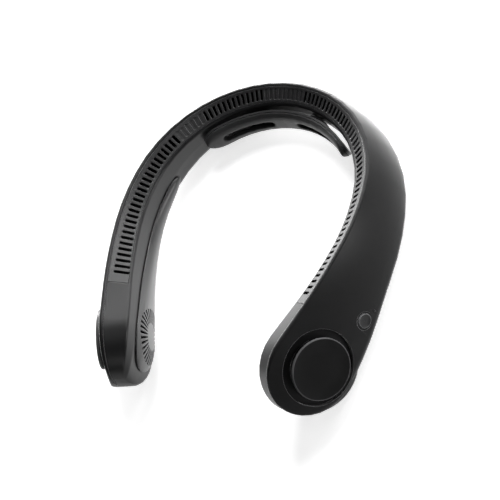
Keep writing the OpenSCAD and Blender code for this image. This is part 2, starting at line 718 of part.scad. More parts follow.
module motor_base(side) {
    color("#9a9da1") posed() on_fan(side) {
        tube(base_r, bearing_r + seat, base_z - seat - base_t, base_z - seat);
        tube(tube_r, bearing_r + seat, tube_low, base_z - seat - base_t / 2);
    }
}
module motor_board(side) {
    high = base_z - 2 * seat - base_t;
    color("#1f6b3a") posed() on_fan(side) tube(stator_r + magnet_t / 2, tube_r + seat, high - board_t, high);
}
module stator(side) {
    core_r = tube_r + seat + tube_wall;
    coil_l = stator_r - core_r - tube_wall;
    color("#b5652b") posed() on_fan(side) {
        tube(core_r, tube_r + seat, stator_low, stator_low + stator_h);
        for (i = [0:stator_poles - 1]) rotate([0, 0, i * 360 / stator_poles]) {
            translate([core_r - tube_wall / 2, -tube_wall / 2, stator_low])
                cube([stator_r - core_r, tube_wall, stator_h]);
            translate([core_r + fit_gap, -tube_wall, stator_low - tube_wall / 2])
                cube([coil_l - fit_gap, 2 * tube_wall, stator_h + tube_wall]);
        }
    }
}

// Air and power inside the arms
function clear_of_face(s, share, gap) =
    let (a = face_tilt(s, share)) face_spot(s, share) - (wall + gap) * [cos(a), sin(a)];
module air_guide(side) {
    function guide_ring(s) =
        let (q = abs(s), a = waist_at(q) + right_of(unit(waist_at(q) - belly_at(q))) * (wall + 4 * fit_gap))
        let (b = clear_of_face(q, guide_share, 2 * fit_gap), drop = [0, -guide_t], rise = [0, guide_rise])
        ring(s, [a + rise, b, b + drop, a + rise + drop]);
    list = concat([guide_s[0]], between(side_s, guide_s[0] + over, guide_s[1] - over), [guide_s[1]]);
    color("#6d7074") posed() swept([for (s = side > 0 ? list : -reversed(list)) guide_ring(s)]);
}
module on_cell(side) {
    a = face_tilt(cell_s, cell_share);
    step = face_spot(cell_s + cell_l / 2, cell_share) - face_spot(cell_s - cell_l / 2, cell_share);
    on_face(side * cell_s, cell_share) rotate([0, -atan(step * [cos(a), sin(a)] / cell_l), 0]) children();
}
module battery(side) {
    color("#3f6fae") posed() on_cell(side)
        block([cell_l, cell_h, cell_t], -cell_sink - cell_t);
}
module battery_holder(side) {
    color("#d8d4c8") posed() on_cell(side) {
        block([cell_l + 2 * holder_t + 2 * seam, cell_h, holder_t], -cell_sink - cell_t - seat - holder_t);
        for (x = [-1, 1]) translate([x * (cell_l + holder_t + 2 * seam) / 2, 0, 0])
            block([holder_t, cell_h, cell_t + holder_t + seat], -cell_sink - cell_t - seat - holder_t);
    }
}
module wiring_lead() {
    function lead_ring(s) =
        let (q = abs(s), a = foot_at(q), b = belly_at(q), m = right_of(unit(b - a)))
        let (c = a + (b - a) * run(q, lead_shares) + m * (wall + lead_r + fit_gap))
        ring(s, [for (i = [0:7]) c + lead_r * [-cos(i * 45), sin(i * 45)]]);
    list = mirrored(side_s);
    color("#a33b2e") posed() swept([for (s = concat([lead_s[0]],
        between(list, lead_s[0] + over, lead_s[1] - over), [lead_s[1]])) lead_ring(s)]);
}

// Board, switch, button and light
module main_board() {
    color("#1f6b3a") posed() on_face(button_s, button_share) translate([board_x, 0, 0]) {
        block([board_l, board_w, board_thick], -board_low);
        translate([-board_l * chip_shares.x, board_w * chip_shares.y, 0])
            block([board_w / 4, board_w / 3, board_thick], board_thick / 2 - board_low);
    }
}
module tact_switch() {
    low = seat + board_thick - board_low;
    color("#2a2a2a") posed() on_face(button_s, button_share) difference() {
        block([switch_w, switch_w, switch_h], low);
        rod(plunger_r + seat, low + switch_floor, 0);
    }
}
module switch_plunger() {
    color("#e8e8e8") posed() on_face(button_s, button_share)
        rod(plunger_r, -button_low - stem_l - seat - plunger_l, -button_low - stem_l - seat);
}
module power_button() {
    color("#1e1f22") posed() on_face(button_s, button_share) {
        rotate_extrude() polygon([[0, -button_low], [button_r + button_flange, -button_low],
            [button_r + button_flange, button_flange_t - button_low], [button_r, button_flange_t - button_low],
            [button_r, 0], [button_r - button_rise, button_rise], [0, button_rise]]);
        rod(stem_r, -button_low - stem_l, -button_low + button_flange_t / 2);
    }
}
module light_pipe() {
    color("#f2f2ee") posed() on_face(button_s, button_share) translate(light_spot)
        rod(light_r, board_thick + seat - board_low, -seat);
}

// Charging port on the underside
module on_port() {
    a = foot_at(port_s);
    b = belly_at(port_s);
    p = a + (b - a) * port_share;
    m = -right_of(unit(b - a));
    on_band(port_s) translate([0, p.x, p.y]) rotate([atan2(-m.x, m.y), 0, 0]) children();
}
module charging_port() {
    color("#c3c6ca") posed() on_port() translate([0, 0, -port_sunk - port_l]) {
        difference() {
            linear_extrude(port_l) rotate(90) slot_shape(port_t, port_w);
            translate([0, 0, port_wall]) linear_extrude(port_l)
                rotate(90) slot_shape(port_t - 2 * port_wall, port_w - 2 * port_wall);
        }
        block([tongue_w, tongue_t, port_l - port_wall], port_wall / 2);
    }
}
module port_board_plate() {
    color("#1f6b3a") posed() on_port() block(port_board, -port_sunk - port_l - seat - port_board.z);
}

// Neck pad, its back plate, brackets and screws, on radii about the nape's centre
module on_pad(turn) {
    translate([0, pad_y, -pad_drop]) rotate([0, 0, -turn]) rotate([-90, 0, 0]) children();
}
pad_turns = let (mid = pad_sweep - pad_end_turn) concat(
    [for (a = [82, 65, 45, 22]) -mid - pad_end_turn * sin(a)],
    [for (i = [-6:6]) mid * i / 6], [for (a = [22, 45, 65, 82]) mid + pad_end_turn * sin(a)]);
function pad_half(turn) = let (d = max(0, abs(turn) - pad_sweep + pad_end_turn))
    pad_h / 2 * closing(d, pad_end_turn);
function pad_ring(turn, r_back, thick, crown) = [for (side = [1, 0], i = side ? [-4:4] : [4:-1:-4])
    let (x = i / 4, r = r_back - side * thick * (1 - crown * pow(x, 4)), half = pad_half(turn))
    let (rise = pad_end_rise * pow(max(0, abs(turn) - pad_sweep + pad_end_turn) / pad_end_turn, 2))
    [r * sin(turn), r * cos(turn) + pad_y, rise - pad_drop + half * x * (1 - 0.04 * crown * side)]];
module pad_slots() {
    for (side = [-1, 1]) on_pad(side * pad_slot_turn)
        translate([0, 0, pad_back_r - 2 * pad_t - pad_slot_w]) linear_extrude(3 * pad_t + pad_slot_w)
            rotate(90) slot_shape(pad_slot_w, pad_slot_l);
}
module neck_pad() {
    color("#232426") posed() difference() {
        swept([for (a = pad_turns) pad_ring(a, pad_back_r - pad_plate_t - seat, pad_t, 0.7)]);
        pad_slots();
    }
}
module pad_plate() {
    color("#6a6c70") posed() difference() {
        swept([for (a = pad_turns) pad_ring(a, pad_back_r, pad_plate_t, 0)]);
        pad_slots();
        for (side = [-1, 1]) on_pad(side * bracket_turn) {
            rod(screw_head_r + seam, 0, pad_back_r - pad_plate_t + screw_head_t);
            rod(screw_r + fit_gap, 0, pad_back_r + over);
        }
    }
}
module pad_brackets() {
    color("#3a3b3f") posed() for (side = [-1, 1]) on_pad(side * bracket_turn) difference() {
        block([bracket_size.x, bracket_size.y, bracket_face_r - bracket_ease - pad_back_r], pad_back_r + seat);
        rod(screw_r + fit_gap, pad_back_r - over, bracket_face_r + over);
    }
}
module pad_screws() {
    low = pad_back_r - pad_plate_t + seat;
    color("silver") posed() for (side = [-1, 1]) on_pad(side * bracket_turn) {
        rod(screw_head_r, low, low + screw_head_t - 2 * seat);
        rod(screw_r, low, bracket_face_r + pad_screw_bite);
    }
}

outer_shell();
inner_shell();
vent_strip();
case_screws();
inner_cover(-1);  // left_inner_cover
inner_cover(1);  // right_inner_cover
outer_cap(-1);  // left_outer_cap
outer_cap(1);  // right_outer_cap
fan_housing(-1);  // left_fan_housing
fan_housing(1);  // right_fan_housing
impeller(-1);  // left_impeller
impeller(1);  // right_impeller
rotor_cup(-1);  // left_rotor_cup
rotor_cup(1);  // right_rotor_cup
rotor_magnet(-1);  // left_rotor_magnet
rotor_magnet(1);  // right_rotor_magnet
shaft(-1);  // left_shaft
shaft(1);  // right_shaft
stator(-1);  // left_stator
stator(1);  // right_stator
bearings(-1);  // left_bearings
bearings(1);  // right_bearings
motor_base(-1);  // left_motor_base
motor_base(1);  // right_motor_base
motor_board(-1);  // left_motor_board
motor_board(1);  // right_motor_board
air_guide(-1);  // left_air_guide
air_guide(1);  // right_air_guide
battery(-1);  // left_battery
battery(1);  // right_battery
battery_holder(-1);  // left_battery_holder
battery_holder(1);  // right_battery_holder
main_board();
tact_switch();
switch_plunger();
power_button();
light_pipe();
charging_port();
port_board_plate();  // port_board
wiring_lead();
neck_pad();
pad_plate();
pad_brackets();
pad_screws();
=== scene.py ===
import json
import math

import bpy
from mathutils import Matrix, Vector


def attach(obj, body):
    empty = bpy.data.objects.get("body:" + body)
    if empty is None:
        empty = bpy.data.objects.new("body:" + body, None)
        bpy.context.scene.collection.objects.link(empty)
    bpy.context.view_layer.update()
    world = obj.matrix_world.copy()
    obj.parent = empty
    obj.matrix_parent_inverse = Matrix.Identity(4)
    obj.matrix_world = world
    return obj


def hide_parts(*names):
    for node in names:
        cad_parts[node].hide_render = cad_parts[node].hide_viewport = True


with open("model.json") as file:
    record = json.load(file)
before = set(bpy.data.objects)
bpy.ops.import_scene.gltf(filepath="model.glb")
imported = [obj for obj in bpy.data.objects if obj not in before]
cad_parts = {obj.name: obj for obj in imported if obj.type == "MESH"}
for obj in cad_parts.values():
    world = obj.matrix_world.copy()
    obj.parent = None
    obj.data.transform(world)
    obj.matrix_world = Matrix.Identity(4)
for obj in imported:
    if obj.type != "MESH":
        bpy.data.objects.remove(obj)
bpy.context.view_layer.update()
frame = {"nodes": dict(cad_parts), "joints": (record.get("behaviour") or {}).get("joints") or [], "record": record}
scene = bpy.context.scene
mm = 0.001
mounts = {each["name"]: each for each in frame["record"]["mounts"]}
joints = {each["name"]: each for each in frame["joints"]}

# the camera stands where the photograph was taken from
camera = {
    "place": (0.75862, -0.29492, 1.06581),
    "turn": (21.9753, 31.5474, 16.7745),      # degrees
    "lens": 142.93,
    "reach": 20.0,                            # metres, past the far edge of the floor
}
cameraTurn = [math.radians(angle) for angle in camera["turn"]]
bpy.ops.object.camera_add(location=camera["place"], rotation=cameraTurn)
scene.camera = bpy.context.object
scene.camera.data.lens = camera["lens"]
scene.camera.data.clip_end = camera["reach"]
print("camera placed")


# shader wiring
class Wire:                                   # an output that can stand in a sum
    def __init__(self, finish, socket):
        self.finish, self.socket = finish, socket

    def mathNode(self, operation, first, second):
        return self.finish.node("ShaderNodeMath", {"operation": operation}, {0: first, 1: second})

    def __add__(self, other):
        return self.mathNode("ADD", self, other)

    def __radd__(self, other):
        return self.mathNode("ADD", other, self)

    def __sub__(self, other):
        return self.mathNode("SUBTRACT", self, other)

    def __rsub__(self, other):
        return self.mathNode("SUBTRACT", other, self)

    def __mul__(self, other):
        return self.mathNode("MULTIPLY", self, other)

    def __rmul__(self, other):
        return self.mathNode("MULTIPLY", other, self)

    def __truediv__(self, other):
        return self.mathNode("DIVIDE", self, other)

    def __rtruediv__(self, other):
        return self.mathNode("DIVIDE", other, self)


class Finish:                                 # the nodes of one material, or of the world
    def __init__(self, owner, shader="Principled BSDF", **plain):
        owner.use_nodes = True
        self.owner = owner
        self.tree = owner.node_tree
        self.shader = self.tree.nodes[shader]
        for socket, value in plain.items():
            self.set(socket.replace("_", " "), value)

    def node(self, kind, settings=None, inputs=None, output=0):
        made = self.tree.nodes.new(kind)
        for name, value in (settings or {}).items():
            setattr(made, name, value)
        for name, value in (inputs or {}).items():
            self.feed(made.inputs[name], value)
        return Wire(self, made.outputs[output])

    def feed(self, socket, value):
        if isinstance(value, Wire):
            self.tree.links.new(value.socket, socket)
        else:
            socket.default_value = value

    def set(self, name, value):
        self.feed(self.shader.inputs[name], value)

    def places(self):                         # object coordinates, in metres
        return self.node("ShaderNodeTexCoord", output="Object")

    def vector(self, operation, *values, output="Vector"):
        return self.node("ShaderNodeVectorMath", {"operation": operation}, dict(enumerate(values)), output)

    def noise(self, size, detail, roughness=0.5, at=None):
        return self.node("ShaderNodeTexNoise", None, {
            "Vector": at or self.places(), "Scale": 1 / size, "Detail": detail, "Roughness": roughness})

    def ramp(self, value, low, high):         # 0 up to low, 1 from high on
        return self.node("ShaderNodeMapRange", None, {"Value": value, "From Min": low, "From Max": high})

    def blend(self, share, low, high):        # sockets 6 and 7 are the two colours, output 2 is their mix
        start = low if isinstance(low, Wire) else (*low, 1)
        return self.node("ShaderNodeMix", {"data_type": "RGBA"}, {
            "Factor": share, 6: start, 7: (*high, 1)}, output=2)

    def bump(self, height, depth, over=None):
        inputs = {"Height": height, "Distance": depth}
        if over:                              # a normal that the bump lies on
            inputs["Normal"] = over
        return self.node("ShaderNodeBump", None, inputs)


cloudSpan = (0.3, 0.7)                        # the range of a soft noise that runs from dark to light

# moulded plastic: the values that all of its finishes share
plastic = {
    "specular": 0.5,                          # where a finish names none
    "sheenRough": 0.3,
    "grainDetail": (3.0, 0.6),                # detail and roughness of the noise
    "cloud": 30 * mm,
    "cloudDetail": (4.0, 0.55),
    "grainShare": 0.2,                        # of the tone, the rest is cloud
    "glossSpread": 0.06,
    "edgeSamples": 6,
    "edgeTurn": (0.006, 0.05),                # lean of the rounded normal where the painted highlight starts and is full
    "outerEdge": (0.49, 0.51),                # pointiness, so that hollows get no painted highlight
    "patches": (0.2, 0.6),
    "edgeGloss": 0.08,
}


def paintedEdgeHighlight(finish, rounded, cloud):       # painted highlight: up to 1 along outer edges, in patches
    flat = finish.node("ShaderNodeNewGeometry", output="Normal")
    alike = finish.vector("DOT_PRODUCT", rounded, flat, output="Value")
    outer = finish.ramp(finish.node("ShaderNodeNewGeometry", output="Pointiness"), *plastic["outerEdge"])
    return finish.ramp(1 - alike, *plastic["edgeTurn"]) * outer * finish.ramp(cloud, *plastic["patches"])


def moulded(name, look):                      # spark-eroded plastic: fine grain, faint flow, a painted highlight along outer edges
    finish = Finish(bpy.data.materials.new(name), Metallic=look.get("metal", 0.0),
                    Specular_IOR_Level=look.get("specular", plastic["specular"]),
                    Sheen_Weight=look.get("sheen", 0.0), Sheen_Roughness=plastic["sheenRough"])
    grain = finish.noise(look["grain"], *plastic["grainDetail"])
    cloud = finish.noise(plastic["cloud"], *plastic["cloudDetail"])
    share = plastic["grainShare"]
    tone = finish.ramp(cloud, *cloudSpan) * (1 - share) + grain * share
    colour = finish.blend(tone, look["dark"], look["light"])
    rough = look["rough"] + (tone - 0.5) * plastic["glossSpread"]
    rounded = None
    if "round" in look:                       # the shader rounds the edges and paints a paler highlight along them
        rounded = finish.node("ShaderNodeBevel", {"samples": plastic["edgeSamples"]}, {
            "Radius": look["round"]})
        edgeHighlight = paintedEdgeHighlight(finish, rounded, cloud) * look["highlightStrength"]
        colour = finish.blend(edgeHighlight, colour, look["edge"])
        rough = rough - edgeHighlight * plastic["edgeGloss"]
    finish.set("Base Color", colour)
    finish.set("Roughness", rough)
    finish.set("Normal", finish.bump(grain, look["depth"], rounded))
    return finish.owner


# edge is the colour of the painted highlight along outer edges, and highlightStrength how strongly it is painted
finishes = {
    "satinCase": {
        "dark": (0.0080, 0.0080, 0.0083), "light": (0.0100, 0.0100, 0.0104), "rough": 0.36,
        "grain": 0.35 * mm, "depth": 0.006 * mm, "specular": 0.16, "sheen": 0.75,
        "round": 0.6 * mm, "highlightStrength": 0.9, "edge": (0.220, 0.220, 0.226)},
    "innerCase": {
        "dark": (0.0090, 0.0090, 0.0094), "light": (0.0112, 0.0112, 0.0117), "rough": 0.36,
        "grain": 0.35 * mm, "depth": 0.006 * mm, "specular": 0.34,
        "round": 0.4 * mm, "highlightStrength": 0.5, "edge": (0.060, 0.060, 0.062)},
    "stripSatin": {
        "dark": (0.0150, 0.0150, 0.0156), "light": (0.0180, 0.0180, 0.0187), "rough": 0.36,
        "grain": 0.30 * mm, "depth": 0.006 * mm, "sheen": 0.25,
        "round": 0.25 * mm, "highlightStrength": 0.7, "edge": (0.140, 0.140, 0.144)},
    # the case's plastic made paler: painted light where the inner covers catch the light
    "coverSatinPaintedLight": {
        "dark": (0.0260, 0.0260, 0.0268), "light": (0.0310, 0.0310, 0.0320), "rough": 0.34,
        "grain": 0.30 * mm, "depth": 0.006 * mm, "sheen": 0.40,
        "round": 0.5 * mm, "highlightStrength": 0.6, "edge": (0.120, 0.120, 0.124)},
    "plateMatt": {
        "dark": (0.0140, 0.0140, 0.0150), "light": (0.0180, 0.0180, 0.0190), "rough": 0.38,
        "grain": 0.35 * mm, "depth": 0.010 * mm,
        "round": 0.3 * mm, "highlightStrength": 0.8, "edge": (0.120, 0.120, 0.124)},
    "fanPlastic": {
        "dark": (0.020, 0.020, 0.021), "light": (0.026, 0.026, 0.027), "rough": 0.5,
        "grain": 0.4 * mm, "depth": 0.01 * mm},
    "innerPlastic": {
        "dark": (0.008, 0.008, 0.009), "light": (0.012, 0.012, 0.013), "rough": 0.6,
        "grain": 0.5 * mm, "depth": 0.015 * mm, "specular": 0.2},
    "holderPlastic": {
        "dark": (0.55, 0.53, 0.48), "light": (0.66, 0.64, 0.58), "rough": 0.55,
        "grain": 0.5 * mm, "depth": 0.015 * mm},
    "cellWrap": {
        "dark": (0.06, 0.16, 0.38), "light": (0.09, 0.22, 0.48), "rough": 0.28,
        "grain": 1.2 * mm, "depth": 0.02 * mm},
    "switchPlastic": {
        "dark": (0.03, 0.03, 0.03), "light": (0.05, 0.05, 0.05), "rough": 0.5,
        "grain": 0.3 * mm, "depth": 0.008 * mm},
    "clearPipe": {                            # unlit, so it shows the dark inside
        "dark": (0.010, 0.010, 0.011), "light": (0.014, 0.014, 0.015), "rough": 0.2,
        "grain": 0.6 * mm, "depth": 0.003 * mm},
    "leadRubber": {
        "dark": (0.30, 0.025, 0.02), "light": (0.40, 0.04, 0.03), "rough": 0.5,
        "grain": 0.5 * mm, "depth": 0.01 * mm},
    "magnetGrey": {
        "dark": (0.05, 0.05, 0.055), "light": (0.09, 0.09, 0.095), "rough": 0.6,
        "grain": 0.3 * mm, "depth": 0.02 * mm, "metal": 0.4},
}
materials = {name: moulded(name, look) for name, look in finishes.items()}

# metal: the values that all of its finishes share
metal = {
    "marksDetail": 2.0,
    "cloud": 6 * mm,
    "cloudDetail": 3.0,
    "glossSpread": 0.12,
}


def turned(name, look):                       # metal with fine turning or rolling marks
    finish = Finish(bpy.data.materials.new(name), Metallic=1.0)
    stretched = finish.node("ShaderNodeMapping", None, {"Vector": finish.places(), "Scale": look["stretch"]})
    marks = finish.noise(look["grain"], metal["marksDetail"], at=stretched)
    cloud = finish.noise(metal["cloud"], metal["cloudDetail"])
    finish.set("Base Color", finish.blend(finish.ramp(cloud, *cloudSpan), look["dark"], look["light"]))
    finish.set("Roughness", look["rough"] + (marks - 0.5) * metal["glossSpread"])
    finish.set("Normal", finish.bump(marks, look["depth"]))
    return finish.owner


metals = {
    "groundSteel": {
        "dark": (0.52, 0.53, 0.55), "light": (0.66, 0.67, 0.69), "rough": 0.3,
        "grain": 0.3 * mm, "depth": 0.004 * mm, "stretch": (1.0, 1.0, 12.0)},
    "screwSteel": {
        "dark": (0.16, 0.16, 0.165), "light": (0.24, 0.24, 0.245), "rough": 0.42,
        "grain": 0.2 * mm, "depth": 0.005 * mm, "stretch": (1.0, 1.0, 12.0)},
    "portPlate": {
        "dark": (0.60, 0.61, 0.63), "light": (0.72, 0.73, 0.75), "rough": 0.22,
        "grain": 0.3 * mm, "depth": 0.003 * mm, "stretch": (1.0, 1.0, 12.0)},
    "bearingBronze": {
        "dark": (0.48, 0.33, 0.15), "light": (0.62, 0.45, 0.22), "rough": 0.42,
        "grain": 0.15 * mm, "depth": 0.01 * mm, "stretch": (1.0, 1.0, 1.0)},
    "copperWire": {
        "dark": (0.24, 0.10, 0.04), "light": (0.36, 0.16, 0.065), "rough": 0.45,
        "grain": 0.25 * mm, "depth": 0.03 * mm, "stretch": (1.0, 1.0, 8.0)},
}
materials.update({name: turned(name, look) for name, look in metals.items()})

# the pad's rubber: soft, dry, with a faint skin texture
rubber = {
    "dark": (0.0125, 0.0125, 0.0130),
    "light": (0.0170, 0.0170, 0.0178),
    "rough": 0.52,
    "specular": 0.35,
    "sheen": 0.12,
    "sheenRough": 0.5,
    "pores": 0.9 * mm,
    "poreShare": 0.4,                         # of the bump, the rest is fine grain
    "fine": 0.3 * mm,
    "fineDetail": 3.0,
    "cloud": 14 * mm,
    "cloudDetail": (4.0, 0.6),
    "cloudGloss": 0.08,
    "fineGloss": 0.05,
    "depth": 0.02 * mm,
}


def softRubber(name, look):
    finish = Finish(bpy.data.materials.new(name), Specular_IOR_Level=look["specular"],
                    Sheen_Weight=look["sheen"], Sheen_Roughness=look["sheenRough"])
    pores = finish.node("ShaderNodeTexVoronoi", None, {
        "Vector": finish.places(), "Scale": 1 / look["pores"]})
    fine = finish.noise(look["fine"], look["fineDetail"])
    tone = finish.ramp(finish.noise(look["cloud"], *look["cloudDetail"]), *cloudSpan)
    height = pores * look["poreShare"] + fine * (1 - look["poreShare"])
    finish.set("Base Color", finish.blend(tone, look["dark"], look["light"]))
    unevenness = (tone - 0.5) * look["cloudGloss"] + (fine - 0.5) * look["fineGloss"]
    finish.set("Roughness", look["rough"] + unevenness)
    finish.set("Normal", finish.bump(height, look["depth"]))
    return finish.owner


# circuit boards: green mask with darker copper runs under it
mask = {
    "dark": (0.012, 0.13, 0.05),
    "light": (0.03, 0.24, 0.1),
    "rough": 0.3,
    "coat": 0.3,
    "runs": 6 * mm,
    "runGap": 0.05,
    "runTones": (1.0, 0.8),
    "runShare": 0.7,                          # of the tone, the rest is cloud
    "cloud": 3 * mm,
    "cloudDetail": 2.0,
    "glossSpread": 0.1,
    "depth": 0.02 * mm,
}


def solderMask(name, look):
    finish = Finish(bpy.data.materials.new(name), Coat_Weight=look["coat"])
    first, second = look["runTones"]
    runs = finish.node("ShaderNodeTexBrick", None, {
        "Vector": finish.places(), "Scale": 1 / look["runs"], "Mortar Size": look["runGap"],
        "Color1": (first, first, first, 1), "Color2": (second, second, second, 1),
        "Mortar": (0, 0, 0, 1)}, output="Fac")
    cloud = finish.noise(look["cloud"], look["cloudDetail"])
    tone = runs * look["runShare"] + cloud * (1 - look["runShare"])
    finish.set("Base Color", finish.blend(tone, look["dark"], look["light"]))
    finish.set("Roughness", look["rough"] + (cloud - 0.5) * look["glossSpread"])
    finish.set("Normal", finish.bump(runs, look["depth"]))
    return finish.owner


# round pieces: the values that their ringed finishes share
rings = {
    "grain": 0.28 * mm,
    "grainDetail": (3.0, 0.6),
    "cloudDetail": 3.0,
    "glossSpread": 0.06,
    "rimHighlightPatches": 0.3,                        # how much of the rim's painted highlight follows the cloud
    "rimGloss": 0.08,
}


def ringed(name, centre, axis, look):         # fine turned rings round an axis, and a painted highlight on the rim
    finish = Finish(bpy.data.materials.new(name), Specular_IOR_Level=look["specular"])
    fromCentre = finish.vector("SUBTRACT", finish.places(), centre)
    radius = finish.vector("LENGTH", finish.vector("CROSS_PRODUCT", fromCentre, axis), output="Value")
    waves = finish.node("ShaderNodeMath", {"operation": "SINE"}, {0: radius / look["pitch"]})
    grain = finish.noise(rings["grain"], *rings["grainDetail"])
    tone = finish.ramp(finish.noise(look["cloud"], rings["cloudDetail"]), *cloudSpan)
    patches = rings["rimHighlightPatches"]
    # painted highlight: the rim is blended towards the pale edge colour
    rim = finish.ramp(radius, *look["rim"]) * (1 - patches + tone * patches)
    colour = finish.blend(tone, look["dark"], look["light"])
    finish.set("Base Color", finish.blend(rim, colour, look["edge"]))
    finish.set("Roughness", look["rough"] + (tone - 0.5) * rings["glossSpread"] - rim * rings["rimGloss"])
    finish.set("Normal", finish.bump(waves * look["ringing"] + grain, look["depth"]))
    return finish.owner


materials["padRubber"] = softRubber("padRubber", rubber)
materials["greenBoard"] = solderMask("greenBoard", mask)
print("finishes made:", len(materials))


# small helpers for modelling
def work(piece):                              # only this piece is selected and active
    bpy.ops.object.select_all(action="DESELECT")
    piece.select_set(True)
    bpy.context.view_layer.objects.active = piece


def modify(piece, kind, **settings):
    work(piece)
    made = piece.modifiers.new(kind.lower(), kind)
    for name, value in settings.items():
        setattr(made, name, value)
    bpy.ops.object.modifier_apply(modifier=made.name)


def roundEdges(piece, width, steps, corner):  # only edges that turn by more than corner degrees
    modify(piece, "BEVEL", width=width, segments=steps, limit_method="ANGLE",
           angle_limit=math.radians(corner))


def settle(piece, body, finish, node, smooth):      # finish, body and the CAD node that it stands for
    work(piece)
    bpy.ops.object.shade_smooth_by_angle(angle=math.radians(smooth))
    piece.data.materials.clear()
    piece.data.materials.append(materials[finish])
    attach(piece, body)
    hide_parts(node)


def turnedPiece(name, sides, rows):           # pulled up about Z from a disc, by rows of height and radius
    bpy.ops.object.select_all(action="DESELECT")
    high, wide = rows[0]
    bpy.ops.mesh.primitive_circle_add(vertices=sides, radius=wide, fill_type="NGON", location=(0, 0, high))
    piece = bpy.context.object
    piece.name = name
    bpy.ops.object.mode_set(mode="EDIT")
    bpy.ops.mesh.select_all(action="SELECT")
    for nextHigh, nextWide in rows[1:]:
        bpy.ops.mesh.extrude_region_move(TRANSFORM_OT_translate={"value": (0, 0, nextHigh - high)})
        grow = nextWide / wide
        bpy.ops.transform.resize(value=(grow, grow, 1), center_override=(0, 0, 0))
        high, wide = nextHigh, nextWide
    bpy.ops.mesh.select_all(action="SELECT")
    bpy.ops.mesh.normals_make_consistent(inside=False)
    bpy.ops.object.mode_set(mode="OBJECT")
    bpy.ops.object.transform_apply(location=True, rotation=True, scale=True)
    return piece


def standOn(piece, place, axis):              # turns its Z onto an axis and moves it there
    upright = Vector(axis).to_track_quat("Z", "Y").to_matrix().to_4x4()
    piece.matrix_world = Matrix.Translation(place) @ upright
    work(piece)
    bpy.ops.object.transform_apply(location=True, rotation=True, scale=True)


weldGap = 0.002 * mm                          # points of a CAD mesh that are closer are one


def weldedCopy(node, name):                   # a CAD node's own shape, welded so that it can be worked on
    piece = bpy.data.objects.new(name, frame["nodes"][node].data.copy())
    scene.collection.objects.link(piece)
    work(piece)
    bpy.ops.object.mode_set(mode="EDIT")
    bpy.ops.mesh.select_all(action="SELECT")
    bpy.ops.mesh.remove_doubles(threshold=weldGap)
    bpy.ops.object.mode_set(mode="OBJECT")
    return piece


# case: the shells, strip, covers and pad plate, as far as their tight corners let their edges be eased
case = {
    "edge": 0.28 * mm,
    "slotEdge": 0.14 * mm,
    "steps": 2,
    "corner": 50,                             # degrees
    "smooth": 33,
    "weight": 60,                             # how much large faces steer the shading
    "parts": [
        ("outerShell", "outer_shell", "outer_shell", "satinCase", "edge"),
        ("innerShell", "inner_shell", "inner_shell", "innerCase", "edge"),
        ("ventStrip", "vent_strip", "strip", "stripSatin", "slotEdge"),
        ("leftInnerCover", "left_inner_cover", "inner_shell", "coverSatinPaintedLight", "slotEdge"),
        ("rightInnerCover", "right_inner_cover", "inner_shell", "coverSatinPaintedLight", "slotEdge"),
        ("padPlate", "pad_plate", "pad_plate", "plateMatt", "slotEdge"),
    ],
}
for name, node, slot, finish, edge in case["parts"]:
    piece = weldedCopy(node, name)
    roundEdges(piece, case[edge], case["steps"], case["corner"])
    settle(piece, "case", finish, node, case["smooth"])
    modify(piece, "WEIGHTED_NORMAL", keep_sharp=True, weight=case["weight"])
print("case dressed")

# outer caps: a flat disc with a rounded rim, on a short stem
cap = {
    "radius": 20.4 * mm,
    "thick": 2.0 * mm,
    "stem": 8.5 * mm,
    "low": -7.45 * mm,                        # foot of the stem, from the face
    "border": 1.0 * mm,                       # raised rim of the face
    "slope": 0.6 * mm,                        # from the rim down to the dish
    "dish": 0.12 * mm,
    "dishShares": (0.5, 0.1),                 # rings of the dish, as shares of the radius
    "round": 0.45 * mm,
    "steps": 4,
    "corner": 50,
    "smooth": 30,
    "sides": 144,
    # edge is the colour of the rim's painted highlight, and rim the radii over which it fades in
    "finish": {"dark": (0.0070, 0.0070, 0.0072), "light": (0.0085, 0.0085, 0.0088), "rough": 0.42,
               "edge": (0.11, 0.11, 0.113), "rim": (19.55 * mm, 20.0 * mm), "specular": 0.12,
               "cloud": 12 * mm, "pitch": 0.16 * mm, "ringing": 0.15, "depth": 0.008 * mm},
}
capInside = cap["radius"] - cap["border"]
capRows = [(cap["low"], cap["stem"]), (-cap["thick"], cap["stem"]), (-cap["thick"], cap["radius"]),
           (0, cap["radius"]), (0, capInside), (-cap["dish"], capInside - cap["slope"])]
capRows += [(-cap["dish"], share * cap["radius"]) for share in cap["dishShares"]]
firstCap = turnedPiece("leftOuterCap", cap["sides"], capRows)
roundEdges(firstCap, cap["round"], cap["steps"], cap["corner"])
secondCap = firstCap.copy()
secondCap.data = firstCap.data.copy()
secondCap.name = "rightOuterCap"
scene.collection.objects.link(secondCap)
for piece, side in ((firstCap, "left"), (secondCap, "right")):
    mount = mounts[side + "_cap_face"]
    finish = side + "CapMatt"
    standOn(piece, mount["pos_m"], mount["axis"])
    materials[finish] = ringed(finish, mount["pos_m"], mount["axis"], cap["finish"])
    settle(piece, "case", finish, side + "_outer_cap", cap["smooth"])
print("caps modelled")

